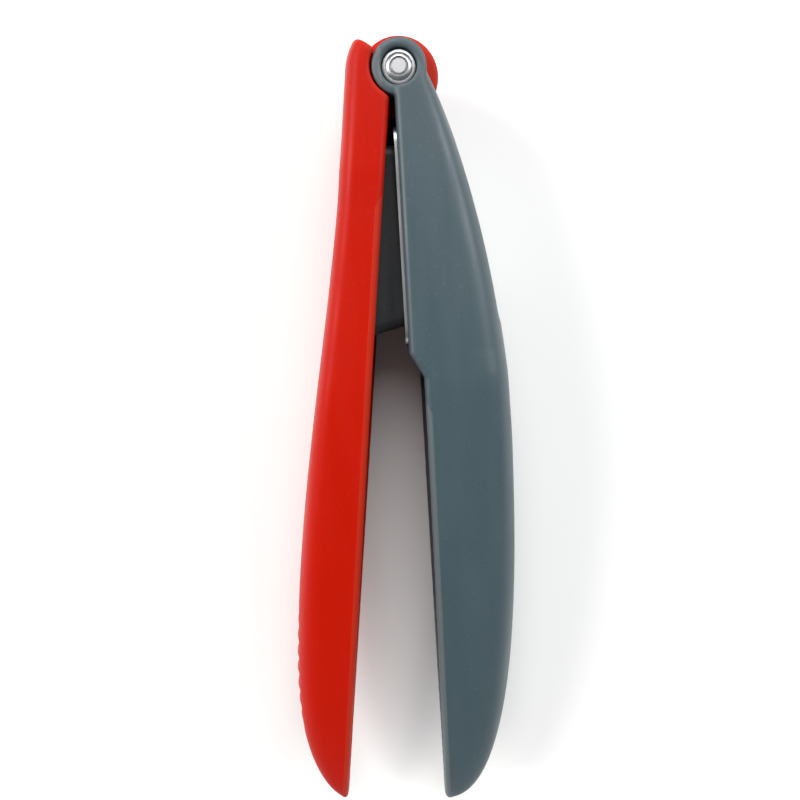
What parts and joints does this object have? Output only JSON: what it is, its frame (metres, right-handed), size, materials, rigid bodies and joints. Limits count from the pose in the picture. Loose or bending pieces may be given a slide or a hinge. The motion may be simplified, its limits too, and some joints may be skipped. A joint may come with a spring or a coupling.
{
  "type": "garlic press",
  "caption": "Garlic press with two pointed boat-shaped handles hinged at the head, a lift-out perforated steel basket in the lower one and a tapered plunger in the upper one.",
  "frame": {"origin": "middle of the footprint, on the surface that the press lies on with its handles closed", "axes": "+Z along the hinge pin, out of the side that faces up; +Y along the lower handle from its tip to the hinge; +X from the upper handle to the lower one"},
  "size_m": [0.0573, 0.1908, 0.034],
  "materials": {
    "grey_plastic": "slate grey moulded plastic, fine satin texture",
    "red_plastic": "warm red moulded plastic, semi-gloss",
    "charcoal_plastic": "charcoal moulded plastic, satin",
    "basket_steel": "pressed stainless steel, satin",
    "pin_steel": "turned steel, satin"
  },
  "bodies": {
    "lower": {"lower_handle": "grey_plastic", "hinge_pin": "pin_steel", "pin_retainer": "pin_steel"},
    "upper": {"upper_handle": "red_plastic", "plunger": "charcoal_plastic"},
    "basket": {"basket": "basket_steel"}
  },
  "joints": [
    {"name": "handle_hinge", "type": "hinge", "parent": "lower", "child": "upper", "pos_m": [0.006, 0.0864, 0.017], "axis": [0, 0, -1], "range_deg": [0, 143]},
    {"name": "basket_lift", "type": "slide", "parent": "lower", "child": "basket", "axis": [-1, 0, 0], "range_m": [0, 0.02]}
  ],
  "couplings": [
    {"joint": "basket_lift", "follows": "handle_hinge", "m_per_rad": 0.0079}
  ]
}
